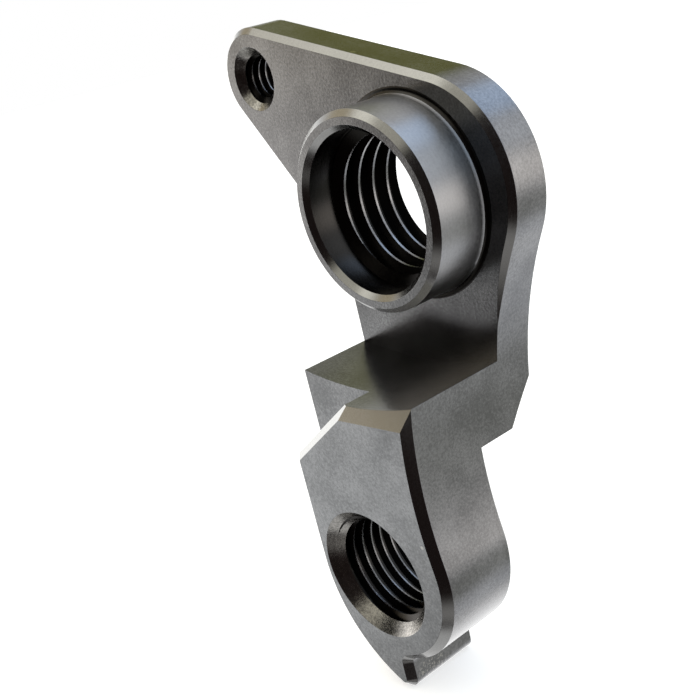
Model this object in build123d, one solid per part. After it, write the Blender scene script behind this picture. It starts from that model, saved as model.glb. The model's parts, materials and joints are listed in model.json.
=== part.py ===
from build123d import *
from math import acos, asin, atan2, cos, degrees, radians, sin, sqrt, tan
import os

# The frame: Y runs through the thickness, with the wheel side towards -Y. The origin is on the
# axle's axis at the plate's wheel-side face, and Z runs along the strut's straight edge.

# Threads, and the part of the pitch that their depth takes from the diameter
AXLE_THREAD = 12.0
AXLE_PITCH = 1.5
DERAILLEUR_THREAD = 10.0
DERAILLEUR_PITCH = 1.0
SCREW_THREAD = 4.0
SCREW_PITCH = 0.7
THREAD_DEPTH_RATIO = 1.0825

# Places of the two other holes, from the axle
DERAILLEUR_X = -2.6
DERAILLEUR_Z = -28.0
SCREW_X = -15.45
SCREW_Z = 9.75

# Plate that lies against the dropout
PLATE_THICKNESS = 4.0
HEAD_X = 1.8
HEAD_Z = 0.45
HEAD_RADIUS = 8.25
SCREW_END_RADIUS = 3.9
WAIST_RADIUS = 33.4
STRUT_EDGE_X = -9.3
SCREW_END_SLOPE = 52.3
STRUT_CORNER_RADIUS = 8.0

# Boss that carries the axle thread through the dropout
BOSS_DIAMETER = 14.9
BOSS_HEIGHT = 5.0
BOSS_RIM_CHAMFER = 0.45
BOSS_ROOT_RADIUS = 0.5
AXLE_LEAD_DIAMETER = 12.1
AXLE_LEAD_DEPTH = 2.5
AXLE_LEAD_CONE = 0.5
AXLE_MOUTH_CHAMFER = 0.4

# Thick foot that carries the derailleur
FOOT_FRONT = 9.9
FOOT_BACK = 2.25
FOOT_X = -2.95
FOOT_Z = -27.4
FOOT_RADIUS = 8.66
LEDGE_DROP = 13.15
LEDGE_RADIUS = 37.0
LEDGE_CENTRE_X = -0.8
STEP_DROP = 18.65
SLOPE_DROP = 14.65
SLOPE_FOOT_Y = 1.0
STEP_CORNER_RADIUS = 0.5

# Corner milled off the foot beside the ledge
CORNER_DEPTH = 3.2
CORNER_START_X = -1.7
CORNER_SLOPE = 34.6

# Edge of the foot towards the stop, and the stop for the tension screw
TOE_RADIUS = 12.4
TOE_CENTRE_Z = -27.8
STOP_FACE_X = -1.1
STOP_TIP_RADIUS = 1.0
STOP_ROOT_RADIUS = 0.7

# Edges and countersinks
PLATE_CHAMFER = 0.45
BEVEL_RUNOUT_RADIUS = 20.0
FOOT_CHAMFER = 0.65
FOOT_TOP_BEVEL_DEPTH = 0.45
FOOT_TOP_BEVEL_DROP = 1.1
BACK_CHAMFER = 0.4
DERAILLEUR_MOUTH = 11.3
SCREW_MOUTH = 5.0
BACK_MOUTH_CHAMFER = 0.3

# Extra reach of the cutting shapes past the part
CLEAR = 2.0

AXLE_CORE = AXLE_THREAD - THREAD_DEPTH_RATIO * AXLE_PITCH
DERAILLEUR_CORE = DERAILLEUR_THREAD - THREAD_DEPTH_RATIO * DERAILLEUR_PITCH
SCREW_CORE = SCREW_THREAD - THREAD_DEPTH_RATIO * SCREW_PITCH

HEAD = Vector(HEAD_X, HEAD_Z)
FOOT = Vector(FOOT_X, FOOT_Z)
SCREW_END = Vector(SCREW_X, SCREW_Z)
TOE = Vector(STRUT_EDGE_X + TOE_RADIUS, TOE_CENTRE_Z)
BOTTOM = TOE_CENTRE_Z - TOE_RADIUS
LEFT = SCREW_X - SCREW_END_RADIUS
RIGHT = HEAD_X + HEAD_RADIUS
TOP = SCREW_Z + SCREW_END_RADIUS


def polar(centre, radius, angle):
    """Point at an angle in degrees on a circle in the plate's plane."""
    return centre + Vector(radius * cos(radians(angle)), radius * sin(radians(angle)))


def angle_of(vector):
    """Angle of a vector in the plate's plane, in degrees."""
    return degrees(atan2(vector.Y, vector.X))


def waist_centre():
    """Centre of the hollow edge that touches the round head and the round foot."""
    to_head = HEAD_RADIUS + WAIST_RADIUS
    to_foot = FOOT_RADIUS + WAIST_RADIUS
    span = HEAD - FOOT
    along = (to_foot**2 - to_head**2 + span.length**2) / (2 * span.length)
    across = sqrt(to_foot**2 - along**2)
    direction = span.normalized()
    return FOOT + direction * along + Vector(direction.Y, -direction.X) * across


def top_edge_angle():
    """Direction at right angles to the straight edge that touches the head and the screw end."""
    span = HEAD - SCREW_END
    return angle_of(span) + degrees(acos((SCREW_END_RADIUS - HEAD_RADIUS) / span.length))


def arc(centre, radius, start, end):
    """Arc from one angle to another, in degrees."""
    middle = polar(centre, radius, (start + end) / 2)
    return ThreePointArc(polar(centre, radius, start), middle, polar(centre, radius, end))


def round_corner(face, corner, radius):
    """Round the one corner of a face that lies nearest to a point."""
    return fillet(face.vertices().sort_by_distance(corner)[0], radius)


def screw_end_edge(end_x):
    """Straight lower edge of the screw end, down to where it reaches an X position."""
    start = polar(SCREW_END, SCREW_END_RADIUS, -90 - SCREW_END_SLOPE)
    fall = (end_x - start.X) * tan(radians(SCREW_END_SLOPE))
    return Line(Vector(end_x, start.Y - fall), start)


def upper_edges(strut_x, head_end):
    """Edges round the screw end and the head, from the strut to an angle on the head."""
    top = top_edge_angle()
    return [
        screw_end_edge(strut_x),
        arc(SCREW_END, SCREW_END_RADIUS, 270 - SCREW_END_SLOPE, top),
        Line(polar(SCREW_END, SCREW_END_RADIUS, top), polar(HEAD, HEAD_RADIUS, top)),
        arc(HEAD, HEAD_RADIUS, top, head_end),
    ]


def outline():
    """Outline of the whole hanger, seen from the wheel side."""
    waist = waist_centre()
    head_end = angle_of(waist - HEAD)
    foot_start = angle_of(waist - FOOT)
    stop_root = Vector(STOP_FACE_X, FOOT_Z - sqrt(FOOT_RADIUS**2 - (STOP_FACE_X - FOOT_X) ** 2))
    stop_tip = Vector(STOP_FACE_X, TOE_CENTRE_Z - sqrt(TOE_RADIUS**2 - (STOP_FACE_X - TOE.X) ** 2))
    strut_corner = screw_end_edge(STRUT_EDGE_X) @ 0
    face = make_face(upper_edges(STRUT_EDGE_X, head_end) + [
        arc(waist, WAIST_RADIUS, head_end + 180, foot_start + 180),
        arc(FOOT, FOOT_RADIUS, foot_start, angle_of(stop_root - FOOT)),
        Line(stop_root, stop_tip),
        arc(TOE, TOE_RADIUS, angle_of(stop_tip - TOE), -180),
        Line((STRUT_EDGE_X, TOE_CENTRE_Z), strut_corner),
    ])
    face = round_corner(face, strut_corner, STRUT_CORNER_RADIUS)
    face = round_corner(face, stop_tip, STOP_TIP_RADIUS)
    return round_corner(face, stop_root, STOP_ROOT_RADIUS)


def bevel_outline():
    """Path of the plate's bevel, which swings wide of the waist and of the strut and so runs out."""
    head_end = angle_of(waist_centre() - HEAD)
    low = -LEDGE_DROP - CLEAR
    swing = polar(HEAD, HEAD_RADIUS + BEVEL_RUNOUT_RADIUS, head_end)
    low_angle = 180 + degrees(asin((swing.Y - low) / BEVEL_RUNOUT_RADIUS))
    beside_strut = STRUT_EDGE_X - 2 * PLATE_CHAMFER
    corner = screw_end_edge(beside_strut) @ 0
    right_run = arc(swing, BEVEL_RUNOUT_RADIUS, head_end + 180, low_angle)
    face = make_face(upper_edges(beside_strut, head_end) + [
        right_run,
        Line(right_run @ 1, (beside_strut, low)),
        Line((beside_strut, low), corner),
    ])
    return round_corner(face, corner, STRUT_CORNER_RADIUS)


def blank():
    """Outline through the whole depth, from the foot's face to the plate's far face."""
    far_face = Plane.XZ.offset(-PLATE_THICKNESS)
    return extrude(far_face * outline(), PLATE_THICKNESS + FOOT_FRONT)


def over_ledge():
    """All of the plate's plane that lies over the ledge."""
    ledge_centre = Vector(LEDGE_CENTRE_X, LEDGE_RADIUS - LEDGE_DROP)
    side = max(LEDGE_CENTRE_X - LEFT, RIGHT - LEDGE_CENTRE_X) + CLEAR
    swing = degrees(acos(side / LEDGE_RADIUS))
    ledge = arc(ledge_centre, LEDGE_RADIUS, swing - 180, -swing)
    low_left, low_right = ledge @ 0, ledge @ 1
    high_left = Vector(low_left.X, TOP + CLEAR)
    high_right = Vector(low_right.X, TOP + CLEAR)
    return make_face([
        ledge,
        Line(low_right, high_right),
        Line(high_right, high_left),
        Line(high_left, low_left),
    ])


def dropout_pocket():
    """Space for the frame's dropout, in front of the plate."""
    return extrude(Plane.XZ * over_ledge(), FOOT_FRONT + CLEAR)


def plate_bevel():
    """Cut along the front edge of the plate, down to the ledge."""
    depth = Plane.XZ.offset(-PLATE_CHAMFER)
    core = extrude(depth * bevel_outline(), PLATE_CHAMFER, taper=45)
    return extrude(depth * over_ledge(), PLATE_CHAMFER) - core


def back_relief():
    """Space behind the foot, under the step and the slope at the plate's lower end."""
    far = PLATE_THICKNESS + CLEAR
    slope = (SLOPE_DROP - STEP_DROP) / (PLATE_THICKNESS - SLOPE_FOOT_Y)
    points = [
        (-FOOT_BACK, -STEP_DROP),
        (SLOPE_FOOT_Y, -STEP_DROP),
        (far, -SLOPE_DROP - slope * CLEAR),
        (far, BOTTOM - CLEAR),
        (-FOOT_BACK, BOTTOM - CLEAR),
    ]
    width = RIGHT - LEFT + 2 * CLEAR
    return extrude(Plane.YZ.offset(LEFT - CLEAR) * make_face(Polyline(*points, close=True)), width)


def milled_corner():
    """Cut beside the ledge, down to a floor that is set back from the foot's face."""
    run = CORNER_START_X - LEFT + CLEAR
    along = Vector(cos(radians(CORNER_SLOPE)), sin(radians(CORNER_SLOPE)))
    on_ledge = Vector(CORNER_START_X, -LEDGE_DROP)
    start = on_ledge + along * CLEAR
    end = on_ledge - along * (run / along.X)
    over = Vector(0, LEDGE_DROP)
    face = make_face(Polyline(start, end, end + over, start + over, close=True))
    return extrude(Plane.XZ.offset(FOOT_FRONT - CORNER_DEPTH) * face, CORNER_DEPTH + CLEAR)


def rim(face, keep=lambda edge: True):
    """Outer edges of a face, apart from those that stay sharp."""
    return [edge for edge in face.outer_wire().edges() if keep(edge)]


def bevel_foot(body):
    """Bevel round the foot's front face, apart from its edge at the ledge."""
    front = body.faces().sort_by(Axis.Y)[0]
    return chamfer(rim(front, lambda edge: edge.center().Z < -LEDGE_DROP - FOOT_CHAMFER), FOOT_CHAMFER)


def foot_top_bevel():
    """Cut for the flatter bevel at the top of the foot's front face, under the ledge."""
    slope = Vector(FOOT_TOP_BEVEL_DEPTH, FOOT_TOP_BEVEL_DROP)
    low = Vector(-FOOT_FRONT, -LEDGE_DROP - FOOT_TOP_BEVEL_DROP) - slope
    high = low + slope * 3
    out = Vector(-FOOT_FRONT - CLEAR, 0)
    points = [low, high, Vector(out.X, high.Y), Vector(out.X, low.Y)]
    width = RIGHT - LEFT + 2 * CLEAR
    return extrude(Plane.YZ.offset(LEFT - CLEAR) * make_face(Polyline(*points, close=True)), width)


def bevel_back(body):
    """Bevel round the plate's far face, as far down as the slope."""
    far_face = body.faces().sort_by(Axis.Y)[-1]
    return chamfer(rim(far_face, lambda edge: edge.center().Z > -SLOPE_DROP + BACK_CHAMFER), BACK_CHAMFER)


def bevel_foot_back(body):
    """Bevel round the foot's far face, up to the step."""
    flat = body.faces().filter_by(Axis.Y)
    foot_back = [face for face in flat if abs(face.center().Y + FOOT_BACK) < BACK_CHAMFER][0]
    return chamfer(rim(foot_back, lambda edge: edge.center().Z < -STEP_DROP - BACK_CHAMFER), BACK_CHAMFER)


def round_step(body):
    """Round the inner corner between the foot's far face and the step."""
    root = Vector((LEFT + RIGHT) / 2, -FOOT_BACK, -STEP_DROP)
    return fillet(body.edges().filter_by(Axis.X).sort_by_distance(root)[0], STEP_CORNER_RADIUS)


def boss():
    """Round boss that passes through the dropout."""
    solid = extrude(Plane.XZ * Circle(BOSS_DIAMETER / 2), BOSS_HEIGHT)
    return chamfer(solid.edges().group_by(Axis.Y)[0], BOSS_RIM_CHAMFER)


def boss_root(body):
    """Edge where the boss stands on the plate."""
    circles = body.edges().filter_by(GeomType.CIRCLE)
    return [edge for edge in circles if abs(edge.center().Y) < BOSS_ROOT_RADIUS and edge.is_closed]


def bore(steps):
    """Round cutter along Y at the origin, from (radius, y) steps in order along Y."""
    outline_points = [(0, steps[0][1])] + steps + [(0, steps[-1][1])]
    face = make_face(Polyline(*outline_points, close=True))
    return revolve(Plane.XY * face, Axis.Y)


def axle_bore():
    """Core of the axle thread, with its plain lead, cone and mouth chamfers."""
    core = AXLE_CORE / 2
    lead = AXLE_LEAD_DIAMETER / 2
    mouth = -BOSS_HEIGHT
    back = PLATE_THICKNESS
    return bore([
        (lead + AXLE_MOUTH_CHAMFER + CLEAR, mouth - CLEAR),
        (lead, mouth + AXLE_MOUTH_CHAMFER),
        (lead, mouth + AXLE_LEAD_DEPTH),
        (core, mouth + AXLE_LEAD_DEPTH + AXLE_LEAD_CONE),
        (core, back - BACK_MOUTH_CHAMFER),
        (core + BACK_MOUTH_CHAMFER + CLEAR, back + CLEAR),
    ])


def countersunk_bore(core, mouth, front, back):
    """Core of a thread from face to face, with a wide countersink at the front one."""
    depth = (mouth - core) / 2
    return bore([
        (mouth / 2 + CLEAR, front - CLEAR),
        (core / 2, front + depth),
        (core / 2, back - BACK_MOUTH_CHAMFER),
        (core / 2 + BACK_MOUTH_CHAMFER + CLEAR, back + CLEAR),
    ])


def hanger():
    """The whole hanger, cut from one piece."""
    body = blank() - dropout_pocket() - back_relief() - milled_corner()
    body = bevel_foot(body) - foot_top_bevel()
    body = round_step(bevel_foot_back(bevel_back(body)))
    body = body - plate_bevel() + boss()
    body = fillet(boss_root(body), BOSS_ROOT_RADIUS)
    body -= axle_bore()
    body -= Pos(DERAILLEUR_X, 0, DERAILLEUR_Z) * countersunk_bore(
        DERAILLEUR_CORE, DERAILLEUR_MOUTH, -FOOT_FRONT, -FOOT_BACK
    )
    body -= Pos(SCREW_X, 0, SCREW_Z) * countersunk_bore(SCREW_CORE, SCREW_MOUTH, 0, PLATE_THICKNESS)
    return body


os.makedirs("parts", exist_ok=True)
part = hanger()
print("volume", part.volume, part.bounding_box())
export_step(part, "parts/hanger.step")
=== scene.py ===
import json
import math
from typing import NamedTuple

import bmesh
import bpy
from mathutils import Matrix, Vector


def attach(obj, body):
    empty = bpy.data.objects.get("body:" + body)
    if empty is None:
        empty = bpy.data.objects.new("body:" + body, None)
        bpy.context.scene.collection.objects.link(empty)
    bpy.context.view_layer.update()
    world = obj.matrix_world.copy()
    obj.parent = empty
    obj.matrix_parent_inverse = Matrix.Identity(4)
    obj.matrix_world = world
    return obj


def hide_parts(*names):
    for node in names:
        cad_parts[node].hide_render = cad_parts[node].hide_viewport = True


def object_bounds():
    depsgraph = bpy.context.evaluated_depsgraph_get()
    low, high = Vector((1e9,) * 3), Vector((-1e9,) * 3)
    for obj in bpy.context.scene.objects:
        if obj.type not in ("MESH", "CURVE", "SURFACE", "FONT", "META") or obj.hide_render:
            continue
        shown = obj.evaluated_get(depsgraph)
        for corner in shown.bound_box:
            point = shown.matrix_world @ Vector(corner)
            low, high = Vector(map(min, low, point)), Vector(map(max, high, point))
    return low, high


bl_info = {
    "name": "Derailleur hanger",
    "version": (1, 0, 0),
    "blender": (4, 5, 0),
    "location": "3D View > Sidebar > Hanger",
    "description": "Machined, threaded and anodised derailleur hanger, shown on a studio floor",
    "category": "Object",
}

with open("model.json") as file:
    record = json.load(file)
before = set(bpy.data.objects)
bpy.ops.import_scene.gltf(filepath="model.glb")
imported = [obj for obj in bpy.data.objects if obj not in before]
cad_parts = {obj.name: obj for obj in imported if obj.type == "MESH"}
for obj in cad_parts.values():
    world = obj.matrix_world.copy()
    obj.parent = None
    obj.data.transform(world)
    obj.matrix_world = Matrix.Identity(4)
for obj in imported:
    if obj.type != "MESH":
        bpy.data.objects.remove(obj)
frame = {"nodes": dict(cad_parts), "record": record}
CAD_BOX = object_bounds()
MM = 0.001

# Finishes of the hanger, in the order of its material slots
FINISHES = (
    "blasted_face",
    "milled_side",
    "turned_boss",
    # bevel: lighter than the metal, a painted highlight
    "bevel",
    # thread: near black, painted shade for the bores and for the boss's root next to the plate
    "thread",
    "thread_crest",
    "countersink",
    "broken_edge",
)
FACE, SIDE, BOSS, BEVEL, PAINTED_SHADE_ZONE, CREST, SINK, EDGE = range(len(FINISHES))

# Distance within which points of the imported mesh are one, and turn up to which its facets are one flat face
MERGE_DISTANCE = 0.0005 * MM
FLAT_WITHIN = math.radians(0.3)
# How far a thread's groove starts inside its core, and the angle of its flanks
GROOVE_CLEARANCE = 0.08 * MM
FLANK_ANGLE = math.radians(30)

# Leans of a face's normal towards Y: flat faces lean more than the first, sides less than the second
FACE_LEAN = 0.95
SIDE_LEAN = 0.3
# Leans between which a face of a small bore is its countersink
SINK_LEANS = (0.2, 0.9)
# Most that the crest of a thread leans towards Y, and how far it may lie from the bore's core
CREST_LEAN = 0.1
CREST_REACH = 0.04 * MM
# Reach of a bore's finish beyond its mouth, and the radius that holds all of the axle bore
BORE_REACH = 0.3 * MM
AXLE_BORE_REACH = 7 * MM
# Reach of the boss's finish, and of its root radius, beyond its wall
BOSS_REACH = 0.1 * MM
ROOT_REACH = 0.6 * MM
# Y of the root radius's start on the boss, of its middle, from where it takes the painted shade of the bores,
# and of its end on the plate
ROOT_START = -0.5 * MM
ROOT_MIDDLE = -0.25 * MM
ROOT_END = -0.001 * MM

# Scale of the blasting's larger pits as a share of that of the grain, and scale of the anodising's clouds
PIT_SCALE = 0.22
CLOUD_SCALE = 260.0
# Noise values between which a mark's shade goes from dark to light
SHADE_FROM = 0.3
SHADE_TO = 0.7
# Scales of the milling streaks along X, Y and Z: they run round the outline, at one depth each
STREAK_STRETCH = (0.035, 1.0, 0.035)

# Bare nicks in the anodising: place of each and its radius, in millimetres
NICKS = (
    (-3.75, 0.75, 10.55, 0.22),
    (4.21, -9.90, -23.78, 0.15),
)
# Torn patch that the cutter left on the stop's face, in the same way
TORN_PATCH = (-1.10, -7.40, -38.15, 1.5)
# Shares of a nick's radius at which the metal begins to show and is all bare
NICK_RIM = 1.3
NICK_CORE = 0.7
# Noise values between which the torn patch goes from anodised to bare
TORN_FROM = 0.56
TORN_TO = 0.64

# Share by which a finish's roughness swings with its shade, to either side
ROUGHNESS_SWING = 0.12
# Direction of the turning marks, in full turns from the tangent about Y
MARK_TURN = 0.25

# Scale of the clouds in the floor's colour, and how much darker they are
FLOOR_CLOUD_SCALE = 40.0
FLOOR_CLOUD_DEPTH = 0.01

# Tone of the studio where no panel stands
ROOM_TONE = (0.9, 0.9, 0.9)
# Panels that the metal reflects, each in front of those before it: azimuth, elevation, half width and
# softness in degrees, then tone
STUDIO_PANELS = (
    (90, 40, 30, 20, (0.70, 0.84, 1.00)),
    (0, -82, 20, 14, (0.80, 0.80, 0.80)),
    (-139, 24, 14, 10, (0.21, 0.21, 0.03)),
    (150, 22, 12, 8, (1.50, 1.56, 1.65)),
    (168, 45, 14, 6, (1.35, 1.68, 2.20)),
    (132, -2, 13, 8, (2.25, 2.15, 2.05)),
    (137, -30, 11, 6, (0.55, 0.56, 0.52)),
    (156, -43, 9, 6, (1.20, 1.24, 1.30)),
    (-155, -48, 24, 12, (1.80, 1.80, 1.80)),
    (-106, 0, 16, 8, (2.10, 2.10, 2.06)),
    (-68, -12, 25, 8, (2.15, 2.09, 2.02)),
    (-80, 38, 15, 8, (0.70, 0.60, 0.42)),
    (-38, 61, 20, 8, (1.65, 1.60, 1.42)),
    (11, -6, 62.3, 4, (0.02, 0.014, 0.013)),
    (-2, 51, 19, 6, (0.75, 0.72, 0.62)),
    (-58, -28, 14, 6, (1.45, 1.48, 1.48)),
    (-57, -46, 13, 8, (0.42, 0.42, 0.40)),
    (42, -52, 10, 8, (0.45, 0.44, 0.43)),
    (-51, 5, 8, 3, (0.95, 0.83, 0.62)),
    (-46, 28, 17.3, 1.7, (0.005, 0.005, 0.005)),
)


class Bore(NamedTuple):
    """Threaded bore, in metres: its mouth's radius, and Y of its front, first whole crest and groove's ends."""

    mouth: float
    front: float
    first_crest: float
    groove_from: float
    groove_to: float


BORES = {
    "axle": Bore(
        mouth=6.2 * MM, front=-4.7 * MM, first_crest=-1.95 * MM, groove_from=-2.6 * MM, groove_to=CAD_BOX[1].y
    ),
    "derailleur": Bore(
        mouth=5.4 * MM, front=-9.95 * MM, first_crest=-9.2 * MM, groove_from=CAD_BOX[0].y, groove_to=-2.0 * MM
    ),
    "screw": Bore(
        mouth=2.3 * MM, front=-0.05 * MM, first_crest=0.5 * MM, groove_from=0.0, groove_to=CAD_BOX[1].y
    ),
}


class Look(NamedTuple):
    """One finish: its colour, roughness and contrast, and its amounts of grain, streaks and turning marks."""

    colour: tuple
    roughness: float
    contrast: float
    grain: float
    streaks: float
    turning: float = 0.0


def length(name, description, millimetres):
    """Length property, whose default is given in millimetres."""
    return bpy.props.FloatProperty(
        name=name,
        description=description,
        default=millimetres * MM,
        unit="LENGTH",
        subtype="DISTANCE",
        precision=5,
    )


def angle(name, description, degrees):
    """Angle property, whose default is given in degrees."""
    return bpy.props.FloatProperty(
        name=name, description=description, default=math.radians(degrees), subtype="ANGLE"
    )


def factor(name, description, value):
    """Property without a unit, from nothing up to one."""
    return bpy.props.FloatProperty(
        name=name, description=description, default=value, min=0.0, max=1.0, subtype="FACTOR"
    )


def colour(name, description, value):
    """Colour property."""
    return bpy.props.FloatVectorProperty(
        name=name, description=description, default=value, size=3, min=0.0, max=4.0, subtype="COLOR"
    )


class HangerMachining(bpy.types.PropertyGroup):
    """Threads and edges that finish the machined solid."""

    facets: bpy.props.IntProperty(
        name="Facets", description="Facets in one turn of a thread", default=64, min=24, max=144
    )
    axle_major: length("Axle thread", "Outside diameter of the axle thread", 12.0)
    axle_pitch: length("Axle pitch", "Pitch of the axle thread", 1.5)
    axle_crest: length("Axle crest", "Y of its thread's crest on the -X wall", -1.87)
    derailleur_major: length("Derailleur thread", "Outside diameter of the derailleur thread", 10.0)
    derailleur_pitch: length("Derailleur pitch", "Pitch of the derailleur thread", 1.0)
    derailleur_crest: length("Derailleur crest", "Y of its thread's crest on the -X wall", -7.95)
    screw_major: length("Screw thread", "Outside diameter of the small screw's thread", 4.0)
    screw_pitch: length("Screw pitch", "Pitch of the small screw's thread", 0.7)
    screw_crest: length("Screw crest", "Y of its thread's crest on the -X wall", 1.1)
    edge_break: length("Broken edge", "Width of the break along every outer sharp edge", 0.05)
    corner: angle("Sharp from", "Turn from which an edge is sharp, and half of it at a bevel", 30.0)


class HangerFinish(bpy.types.PropertyGroup):
    """Colours and textures of the anodised metal."""

    metal: colour("Metal", "Colour of the dark anodised metal", (0.20, 0.20, 0.203))
    # Painted shade: the bores and the half of the boss's root next to the plate are painted near black for the
    # shade in these hollows, and the thread crests keep the metal's colour
    painted_shade_colour: colour("Bores", "Colour of the metal in the bores and at the boss's root", (0.04, 0.038, 0.036))
    boss: colour("Boss", "Colour of the turned boss", (0.34, 0.34, 0.345))
    bare: colour("Bare metal", "Colour of countersinks and nicks, without anodising", (0.36, 0.35, 0.33))
    # Painted highlight: the bevels are painted lighter than the metal, for the light that they catch
    bright: colour("Bevels", "Colour of the bevels, where the anodising is thin", (0.34, 0.34, 0.335))
    face_roughness: factor("Face roughness", "Roughness of the blasted faces", 0.22)
    side_roughness: factor("Side roughness", "Roughness of the milled sides", 0.24)
    boss_roughness: factor("Boss roughness", "Roughness of the turned boss", 0.35)
    turning: factor("Turning marks", "How far the boss's turning marks stretch its reflections along it", 0.7)
    bevel_roughness: factor("Bevel roughness", "Roughness of the bevels", 0.2)
    grain: length("Grain", "Size of the blasting grain", 0.2)
    grain_depth: length("Grain depth", "Depth of the blasting grain", 0.007)
    streak: length("Streak", "Spacing of the milling streaks", 0.28)


class HangerStage(bpy.types.PropertyGroup):
    """Floor, light and camera."""

    floor_size: length("Floor size", "Side of the square floor", 2400.0)
    floor_colour: colour("Floor", "Colour of the floor", (0.88, 0.86, 0.82))
    floor_glow: factor("Floor glow", "Light that the floor sends to the camera alone", 0.62)
    azimuth: angle("Azimuth", "Turn of the camera round the hanger", 51.34)
    elevation: angle("Elevation", "Height of the camera as an angle", 22.95)
    roll: angle("Roll", "Turn of the camera about its own line of sight", -13.19)
    distance: length("Distance", "Distance from the camera to the point that it looks at", 98.16)
    target_x: length("Target X", "X of the point that the camera looks at", -8.34)
    target_z: length("Target Z", "Z of the point that the camera looks at", -23.0)
    lens: bpy.props.FloatProperty(name="Lens", description="Focal length", default=57.79, unit="CAMERA")
    shift_x: bpy.props.FloatProperty(name="Shift X", description="Sideways shift", default=-0.0704)
    shift_y: bpy.props.FloatProperty(name="Shift Y", description="Upward shift", default=0.1537)


def mount(name):
    """Place and core radius of one of the record's round mounts, in metres."""
    found = next(entry for entry in frame["record"]["mounts"] if entry["name"] == name)
    return Vector(found["pos_m"]), found["dims"]["r_mm"] * MM


def from_axis(point, centre):
    """Distance of a point from a bore's axis, which runs along Y."""
    return math.hypot(point.x - centre.x, point.z - centre.z)


def merged_node(name):
    """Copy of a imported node's mesh with its loose triangles joined and its flat faces whole."""
    mesh = bmesh.new()
    mesh.from_mesh(frame["nodes"][name].data)
    bmesh.ops.remove_doubles(mesh, verts=mesh.verts, dist=MERGE_DISTANCE)
    bmesh.ops.dissolve_limit(
        mesh, angle_limit=FLAT_WITHIN, use_dissolve_boundaries=False, verts=mesh.verts, edges=mesh.edges
    )
    return mesh


def in_bore(verts, reach=0.0):
    """Whether all of some vertices lie in one of the threaded bores, or within reach of its mouth."""
    for name, bore in BORES.items():
        place = mount(f"{name}_thread")[0]
        if all(from_axis(vert.co, place) < bore.mouth + reach and vert.co.y > bore.front for vert in verts):
            return True
    return False


def break_edges(mesh, width, corner):
    """Break the outer sharp edges, as deburring does."""
    sharp = [
        edge
        for edge in mesh.edges
        if len(edge.link_faces) == 2
        and edge.is_convex
        and edge.calc_face_angle() > corner
        and not in_bore(edge.verts)
    ]
    made = bmesh.ops.bevel(
        mesh,
        geom=sharp,
        offset=width,
        offset_type="OFFSET",
        segments=1,
        profile=0.5,
        affect="EDGES",
        clamp_overlap=True,
        material=-1,
    )
    for face in made["faces"]:
        face.material_index = EDGE


def thread_groove(mesh, place, core, major, pitch, crest, low, high, facets):
    """Groove of a right-hand thread: a closed helix that reaches past both ends of its wall."""
    flat = pitch / 8
    inner = core - GROOVE_CLEARANCE
    foot = flat + (major - inner) * math.tan(FLANK_ANGLE)
    start = crest + pitch / 2
    start += math.ceil((high + foot - start) / pitch) * pitch
    turns = math.ceil((start - low + foot) / pitch)
    corners = [
        mesh.verts.new((place.x - radius, start + offset, place.z))
        for radius, offset in ((inner, -foot), (major, -flat), (major, flat), (inner, foot))
    ]
    ring = [mesh.edges.new((corners[i], corners[i - 1])) for i in range(4)]
    bmesh.ops.spin(
        mesh,
        geom=corners + ring,
        cent=(place.x, 0, place.z),
        axis=(0, -1, 0),
        dvec=(0, -pitch / facets, 0),
        angle=math.tau * turns,
        steps=turns * facets,
        use_duplicate=False,
    )


def groove_mesh(machining):
    """All three thread grooves, in one closed mesh."""
    mesh = bmesh.new()
    for name, bore in BORES.items():
        place, core = mount(f"{name}_thread")
        major, pitch, crest = (getattr(machining, f"{name}_{size}") for size in ("major", "pitch", "crest"))
        ends = (bore.groove_from, bore.groove_to)
        thread_groove(mesh, place, core, major / 2, pitch, crest, *ends, machining.facets)
    open_edges = [edge for edge in mesh.edges if edge.is_boundary]
    bmesh.ops.holes_fill(mesh, edges=open_edges, sides=4)
    bmesh.ops.recalc_face_normals(mesh, faces=mesh.faces)
    for face in mesh.faces:
        face.material_index = PAINTED_SHADE_ZONE
    return mesh


def new_object(name, mesh):
    """Object for a finished bmesh, which is freed."""
    data = bpy.data.meshes.new(name)
    mesh.to_mesh(data)
    mesh.free()
    made = bpy.data.objects.new(name, data)
    bpy.context.scene.collection.objects.link(made)
    return made


def bake_modifiers(made):
    """Turn an object's modifiers into mesh."""
    done = made.evaluated_get(bpy.context.evaluated_depsgraph_get())
    data = bpy.data.meshes.new_from_object(done)
    made.modifiers.clear()
    made.data = data


def on_crest(point, normal):
    """Whether a point of a bore's wall lies on the crest that the thread's groove leaves."""
    for name, bore in BORES.items():
        place, core = mount(f"{name}_thread")
        at_core = abs(from_axis(point, place) - core) < CREST_REACH
        if at_core and point.y > bore.first_crest and abs(normal.y) < CREST_LEAN:
            return True
    return False


def zone_of(face):
    """Finish of a face of the hanger, from where it lies and where it looks."""
    point = face.calc_center_median()
    lean = abs(face.normal.y)
    # Bore walls take the painted shade, all but the crests and the small bores' countersinks
    if in_bore(face.verts, BORE_REACH):
        if on_crest(point, face.normal):
            return CREST
        small_bore = from_axis(point, mount("axle_thread")[0]) > AXLE_BORE_REACH
        return SINK if small_bore and SINK_LEANS[0] < lean < SINK_LEANS[1] else PAINTED_SHADE_ZONE
    boss, radius = mount("boss")
    out = from_axis(point, boss) - radius
    # The half of the root radius next to the plate takes the bores' painted shade, for the shade in the crease
    if out < ROOT_REACH and ROOT_START < point.y < ROOT_END:
        return BOSS if point.y <= ROOT_MIDDLE else PAINTED_SHADE_ZONE
    if lean > FACE_LEAN:
        return FACE
    if lean < SIDE_LEAN:
        return BOSS if out < BOSS_REACH and point.y < 0 else SIDE
    # Faces that lean between flats and sides are bevels, which take the painted highlight
    return BEVEL


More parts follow.
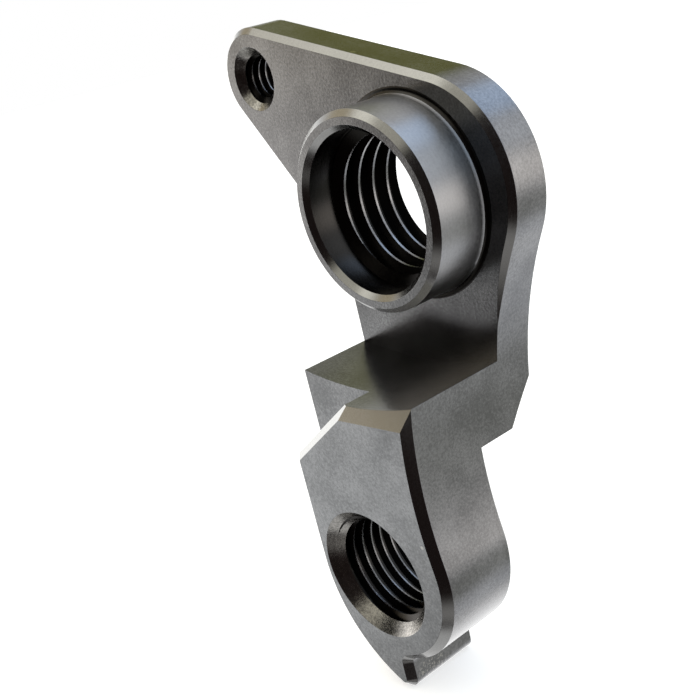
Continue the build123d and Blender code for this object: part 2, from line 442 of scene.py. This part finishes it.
def finish_zones(made, corner):
    """Give each face its finish, and keep the machined edges crisp."""
    mesh = bmesh.new()
    mesh.from_mesh(made.data)
    for face in mesh.faces:
        face.smooth = True
        if face.material_index not in (PAINTED_SHADE_ZONE, EDGE):
            face.material_index = zone_of(face)
    for edge in mesh.edges:
        sides = [face.material_index for face in edge.link_faces]
        limit = corner / 2 if BEVEL in sides else corner
        edge.smooth = len(sides) == 2 and sides[0] == sides[1] and edge.calc_face_angle() < limit
    mesh.to_mesh(made.data)
    mesh.free()


class Nodes:
    """A node tree that is filled from left to right."""

    spacing = 190

    def __init__(self, tree):
        self.tree = tree
        self.count = 0

    def add(self, kind, inputs=None, **settings):
        """New node, with settings and with numbers or links on its named inputs."""
        made = self.tree.nodes.new(kind)
        made.location = (self.count * self.spacing, 0)
        self.count += 1
        for key, value in settings.items():
            setattr(made, key, value)
        for key, value in (inputs or {}).items():
            if isinstance(value, bpy.types.NodeSocket):
                self.tree.links.new(value, made.inputs[key])
            else:
                made.inputs[key].default_value = value
        return made

    def math(self, operation, first, second=0.0):
        """Output of a math node."""
        return self.add("ShaderNodeMath", {0: first, 1: second}, operation=operation).outputs[0]

    def weighted(self, first, first_weight, second, second_weight):
        """Sum of two values, each with its weight."""
        return self.math(
            "ADD", self.math("MULTIPLY", first, first_weight), self.math("MULTIPLY", second, second_weight)
        )

    def noise(self, place, scale, detail=2.0, roughness=0.5):
        """Noise over a place."""
        inputs = {"Vector": place, "Scale": scale, "Detail": detail, "Roughness": roughness}
        return self.add("ShaderNodeTexNoise", inputs).outputs["Fac"]

    def group(self, tree, **values):
        """Outputs of a node group, some of whose inputs have values."""
        made = self.add("ShaderNodeGroup", node_tree=tree)
        for name, value in values.items():
            made.inputs[name].default_value = value
        return made.outputs

    def ramp(self, value, low, high, to_low=0.0, to_high=1.0):
        """Value that goes smoothly between two limits."""
        made = self.add(
            "ShaderNodeMapRange",
            {"Value": value, "From Min": low, "From Max": high, "To Min": to_low, "To Max": to_high},
            interpolation_type="SMOOTHSTEP",
        )
        return made.outputs["Result"]

    def mix(self, share, first, second):
        """Mix of two colours."""
        made = self.add("ShaderNodeMix", {"Factor": share}, data_type="RGBA")
        # The node's sockets for two colours come after those for two numbers and two vectors
        for socket, value in ((made.inputs[6], first), (made.inputs[7], second)):
            if isinstance(value, bpy.types.NodeSocket):
                self.tree.links.new(value, socket)
            else:
                socket.default_value = (*value, 1.0)
        return made.outputs[2]


def new_group(name, inputs, outputs):
    """Shader node group with float sockets, whose inputs have defaults."""
    group = bpy.data.node_groups.new(name, "ShaderNodeTree")
    for socket, value in inputs.items():
        made = group.interface.new_socket(socket, in_out="INPUT", socket_type="NodeSocketFloat")
        made.default_value = value
    for socket in outputs:
        group.interface.new_socket(socket, in_out="OUTPUT", socket_type="NodeSocketFloat")
    nodes = Nodes(group)
    return group, nodes, nodes.add("NodeGroupInput").outputs


def blasting_group():
    """Bead-blasted grain: fine pits with a few larger ones, and a cloudy shade."""
    group, nodes, given = new_group("Blasting grain", {"Size": 0.2 * MM}, ("Height", "Shade"))
    place = nodes.add("ShaderNodeTexCoord").outputs["Object"]
    scale = nodes.math("DIVIDE", 1.0, given["Size"])
    fine = nodes.noise(place, scale, detail=3.0, roughness=0.65)
    coarse = nodes.noise(place, nodes.math("MULTIPLY", scale, PIT_SCALE))
    cloud = nodes.noise(place, CLOUD_SCALE)
    height = nodes.weighted(fine, 0.8, coarse, 0.2)
    shade = nodes.weighted(fine, 0.6, cloud, 0.4)
    nodes.add("NodeGroupOutput", {"Height": height, "Shade": nodes.ramp(shade, SHADE_FROM, SHADE_TO)})
    return group


def milling_group():
    """Marks of a milling cutter that runs round the outline: fine lines at one depth each."""
    group, nodes, given = new_group("Milling streaks", {"Spacing": 0.28 * MM}, ("Height", "Shade"))
    place = nodes.add("ShaderNodeTexCoord").outputs["Object"]
    scale = nodes.math("DIVIDE", 1.0, given["Spacing"])
    stretched = nodes.add("ShaderNodeMapping", {"Vector": place, "Scale": STREAK_STRETCH}).outputs["Vector"]
    lines = nodes.noise(stretched, scale, detail=4.0, roughness=0.7)
    nodes.add("NodeGroupOutput", {"Height": lines, "Shade": nodes.ramp(lines, SHADE_FROM, SHADE_TO)})
    return group


def nicks_group():
    """Where the metal is bare: a few nicks, and the torn patch on the stop."""
    group, nodes, given = new_group("Nicks", {"Grain": 0.2 * MM}, ("Bare",))
    place = nodes.add("ShaderNodeTexCoord").outputs["Object"]
    shares = []
    for x, y, z, radius in (*NICKS, TORN_PATCH):
        away = nodes.add("ShaderNodeVectorMath", {0: place}, operation="DISTANCE")
        away.inputs[1].default_value = Vector((x, y, z)) * MM
        shares.append(nodes.ramp(away.outputs["Value"], radius * NICK_RIM * MM, radius * NICK_CORE * MM))
    torn = nodes.noise(place, nodes.math("DIVIDE", 1.0, given["Grain"]))
    bare = nodes.math("MULTIPLY", shares.pop(), nodes.ramp(torn, TORN_FROM, TORN_TO))
    for share in shares:
        bare = nodes.math("MAXIMUM", bare, share)
    nodes.add("NodeGroupOutput", {"Bare": bare})
    return group


def anodised(name, look, finish, groups):
    """Anodised metal with its share of blasting grain and of milling streaks, perhaps turned about Y."""
    material = bpy.data.materials.new(name)
    material.use_nodes = True
    material.node_tree.nodes.clear()
    nodes = Nodes(material.node_tree)
    blast = nodes.group(groups["blasting"], Size=finish.grain)
    mill = nodes.group(groups["milling"], Spacing=finish.streak)
    bare = nodes.group(groups["nicks"], Grain=finish.grain)["Bare"]
    marks = look.grain + look.streaks
    shade = nodes.weighted(blast["Shade"], look.grain / marks, mill["Shade"], look.streaks / marks)
    height = nodes.weighted(blast["Height"], look.grain, mill["Height"], look.streaks)
    bump = nodes.add("ShaderNodeBump", {"Height": height, "Distance": finish.grain_depth, "Strength": 1.0})
    dark = tuple(channel * (1 - look.contrast) for channel in look.colour)
    light = tuple(channel * (1 + look.contrast) for channel in look.colour)
    smooth = look.roughness * (1 - ROUGHNESS_SWING)
    rough = look.roughness * (1 + ROUGHNESS_SWING)
    tangent = nodes.add("ShaderNodeTangent", direction_type="RADIAL", axis="Y")
    shader = nodes.add(
        "ShaderNodeBsdfPrincipled",
        {
            "Base Color": nodes.mix(bare, nodes.mix(shade, dark, light), tuple(finish.bare)),
            "Metallic": 1.0,
            "Roughness": nodes.ramp(shade, 0.0, 1.0, smooth, rough),
            "Anisotropic": look.turning,
            "Anisotropic Rotation": MARK_TURN,
            "Tangent": tangent.outputs["Tangent"],
            "Normal": bump.outputs["Normal"],
        },
    )
    nodes.add("ShaderNodeOutputMaterial", {"Surface": shader.outputs["BSDF"]})
    return material


def hanger_materials(finish):
    """One material for each finish of the hanger."""
    groups = {"blasting": blasting_group(), "milling": milling_group(), "nicks": nicks_group()}
    metal, painted_shade_colour, boss, bright, bare = (
        tuple(tone) for tone in (finish.metal, finish.painted_shade_colour, finish.boss, finish.bright, finish.bare)
    )
    side = finish.side_roughness
    looks = {
        "blasted_face": Look(metal, finish.face_roughness, contrast=0.36, grain=1.0, streaks=0.02),
        "milled_side": Look(metal, side, contrast=0.3, grain=0.9, streaks=0.08),
        "turned_boss": Look(
            boss, finish.boss_roughness, contrast=0.2, grain=0.4, streaks=0.1, turning=finish.turning
        ),
        # Bevels: a lighter copy of the metal, a painted highlight
        "bevel": Look(bright, finish.bevel_roughness, contrast=0.1, grain=0.25, streaks=0.05),
        # Painted shade of the bores and of the boss's root
        "thread": Look(painted_shade_colour, side, contrast=0.15, grain=0.4, streaks=0.2),
        "thread_crest": Look(metal, side, contrast=0.4, grain=0.8, streaks=0.2),
        "countersink": Look(bare, side, contrast=0.5, grain=2.0, streaks=0.3),
        "broken_edge": Look(metal, finish.bevel_roughness, contrast=0.1, grain=0.3, streaks=0.1),
    }
    return [anodised(name, looks[name], finish, groups) for name in FINISHES]


class HANGER_OT_body(bpy.types.Operator):
    """Finish the machined solid: break its edges, cut its threads and anodise it"""

    bl_idname = "hanger.body"
    bl_label = "Hanger"

    def execute(self, context):
        machining = context.scene.hanger_machining
        mesh = merged_node("hanger")
        for face in mesh.faces:
            face.material_index = FACE
        break_edges(mesh, machining.edge_break, machining.corner)
        body = new_object("machined_hanger", mesh)
        grooves = new_object("thread_grooves", groove_mesh(machining))
        for material in hanger_materials(context.scene.hanger_finish):
            body.data.materials.append(material)
            grooves.data.materials.append(material)
        cut = body.modifiers.new("Threads", "BOOLEAN")
        cut.operation = "DIFFERENCE"
        cut.solver = "EXACT"
        cut.material_mode = "INDEX"
        cut.object = grooves
        bake_modifiers(body)
        bpy.data.objects.remove(grooves)
        finish_zones(body, machining.corner)
        body.modifiers.new("Flat faces", "WEIGHTED_NORMAL").keep_sharp = True
        bake_modifiers(body)
        if not body.data.polygons:
            raise RuntimeError("cutting the threads left no mesh")
        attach(body, "root")
        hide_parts("hanger")
        return {"FINISHED"}


def direction(azimuth, elevation):
    """Unit vector towards an azimuth, counted from the -Y axis towards +X, and an elevation."""
    flat = math.cos(elevation)
    return Vector((math.sin(azimuth) * flat, -math.cos(azimuth) * flat, math.sin(elevation)))


def studio_world(scene):
    """Soft surroundings: a plain grey room with pale and dark panels, and white to the camera."""
    world = bpy.data.worlds.new("Studio")
    world.use_nodes = True
    world.node_tree.nodes.clear()
    nodes = Nodes(world.node_tree)
    heading = nodes.add("ShaderNodeTexCoord").outputs["Generated"]
    light = ROOM_TONE
    for azimuth, elevation, width, soft, tone in STUDIO_PANELS:
        aim = nodes.add("ShaderNodeVectorMath", {0: heading}, operation="DOT_PRODUCT")
        aim.inputs[1].default_value = direction(math.radians(azimuth), math.radians(elevation))
        off = nodes.math("ARCCOSINE", aim.outputs["Value"])
        share = nodes.ramp(off, math.radians(width + soft), math.radians(width - soft))
        light = nodes.mix(share, light, tone)
    room = nodes.add("ShaderNodeBackground", {"Color": light})
    white = nodes.add("ShaderNodeBackground", {"Color": (1.0, 1.0, 1.0, 1.0)})
    seen = nodes.add("ShaderNodeLightPath").outputs["Is Camera Ray"]
    both = nodes.add("ShaderNodeMixShader", {"Fac": seen, 1: room.outputs[0], 2: white.outputs[0]})
    nodes.add("ShaderNodeOutputWorld", {"Surface": both.outputs[0]})
    scene.world = world


def floor_material(tone, glow):
    """Pale matt floor that shows the shadow and is white to the camera."""
    material = bpy.data.materials.new("pale_floor")
    material.use_nodes = True
    material.node_tree.nodes.clear()
    nodes = Nodes(material.node_tree)
    place = nodes.add("ShaderNodeTexCoord").outputs["Object"]
    cloud = nodes.noise(place, FLOOR_CLOUD_SCALE)
    pale = nodes.mix(cloud, tuple(channel * (1 - FLOOR_CLOUD_DEPTH) for channel in tone), tone)
    matt = nodes.add("ShaderNodeBsdfDiffuse", {"Color": pale})
    seen = nodes.add("ShaderNodeLightPath").outputs["Is Camera Ray"]
    white = nodes.add(
        "ShaderNodeEmission", {"Color": (1.0, 1.0, 1.0, 1.0), "Strength": nodes.math("MULTIPLY", seen, glow)}
    )
    both = nodes.add("ShaderNodeAddShader", {0: matt.outputs[0], 1: white.outputs[0]})
    nodes.add("ShaderNodeOutputMaterial", {"Surface": both.outputs[0]})
    return material


def place_camera(stage):
    """Camera turned and shifted as the stage says, looking at a point in the plate's plane."""
    back = direction(stage.azimuth, stage.elevation)
    right = Vector((math.cos(stage.azimuth), math.sin(stage.azimuth), 0))
    up = back.cross(right)
    turned = Matrix((right, up, back)).transposed() @ Matrix.Rotation(stage.roll, 3, "Z")
    data = bpy.data.cameras.new("camera")
    data.lens = stage.lens
    data.sensor_width = 36.0
    data.shift_x = stage.shift_x
    data.shift_y = stage.shift_y
    data.clip_start = 0.002
    data.clip_end = 20.0
    camera = bpy.data.objects.new("camera", data)
    camera.matrix_world = Matrix.Translation(
        Vector((stage.target_x, 0, stage.target_z)) + back * stage.distance
    ) @ turned.to_4x4()
    bpy.context.scene.collection.objects.link(camera)
    bpy.context.scene.camera = camera


class HANGER_OT_stage(bpy.types.Operator):
    """Set up the floor, the soft light and the camera"""

    bl_idname = "hanger.stage"
    bl_label = "Stage"

    def execute(self, context):
        stage = context.scene.hanger_stage
        mesh = bmesh.new()
        bmesh.ops.create_grid(mesh, x_segments=1, y_segments=1, size=stage.floor_size / 2)
        bmesh.ops.translate(mesh, verts=mesh.verts, vec=(0, 0, CAD_BOX[0].z))
        floor = new_object("studio_floor", mesh)
        floor.data.materials.append(floor_material(tuple(stage.floor_colour), stage.floor_glow))
        floor.visible_glossy = False
        studio_world(context.scene)
        place_camera(stage)
        context.scene.view_settings.view_transform = "Standard"
        return {"FINISHED"}


class HANGER_PT_sidebar(bpy.types.Panel):
    """Sizes, finish and stage of the hanger"""

    bl_label = "Derailleur hanger"
    bl_idname = "HANGER_PT_sidebar"
    bl_space_type = "VIEW_3D"
    bl_region_type = "UI"
    bl_category = "Hanger"

    def draw(self, context):
        for operator, settings in (
            ("hanger.body", (context.scene.hanger_machining, context.scene.hanger_finish)),
            ("hanger.stage", (context.scene.hanger_stage,)),
        ):
            box = self.layout.box()
            box.operator(operator)
            for group in settings:
                for name in group.bl_rna.properties.keys():
                    if name not in ("rna_type", "name"):
                        box.prop(group, name)


GROUPS = {
    "hanger_machining": HangerMachining,
    "hanger_finish": HangerFinish,
    "hanger_stage": HangerStage,
}
OPERATORS = (HANGER_OT_body, HANGER_OT_stage)


def register():
    """Register the settings, the operators and the sidebar."""
    for name, group in GROUPS.items():
        bpy.utils.register_class(group)
        setattr(bpy.types.Scene, name, bpy.props.PointerProperty(type=group))
    for operator in OPERATORS:
        bpy.utils.register_class(operator)
    bpy.utils.register_class(HANGER_PT_sidebar)


def unregister():
    """Take back all that register has registered."""
    bpy.utils.unregister_class(HANGER_PT_sidebar)
    for operator in reversed(OPERATORS):
        bpy.utils.unregister_class(operator)
    for name, group in reversed(GROUPS.items()):
        delattr(bpy.types.Scene, name)
        bpy.utils.unregister_class(group)


def main():
    """Make the hanger and its stage."""
    register()
    bpy.ops.hanger.body()
    bpy.ops.hanger.stage()


if __name__ == "__main__":
    main()
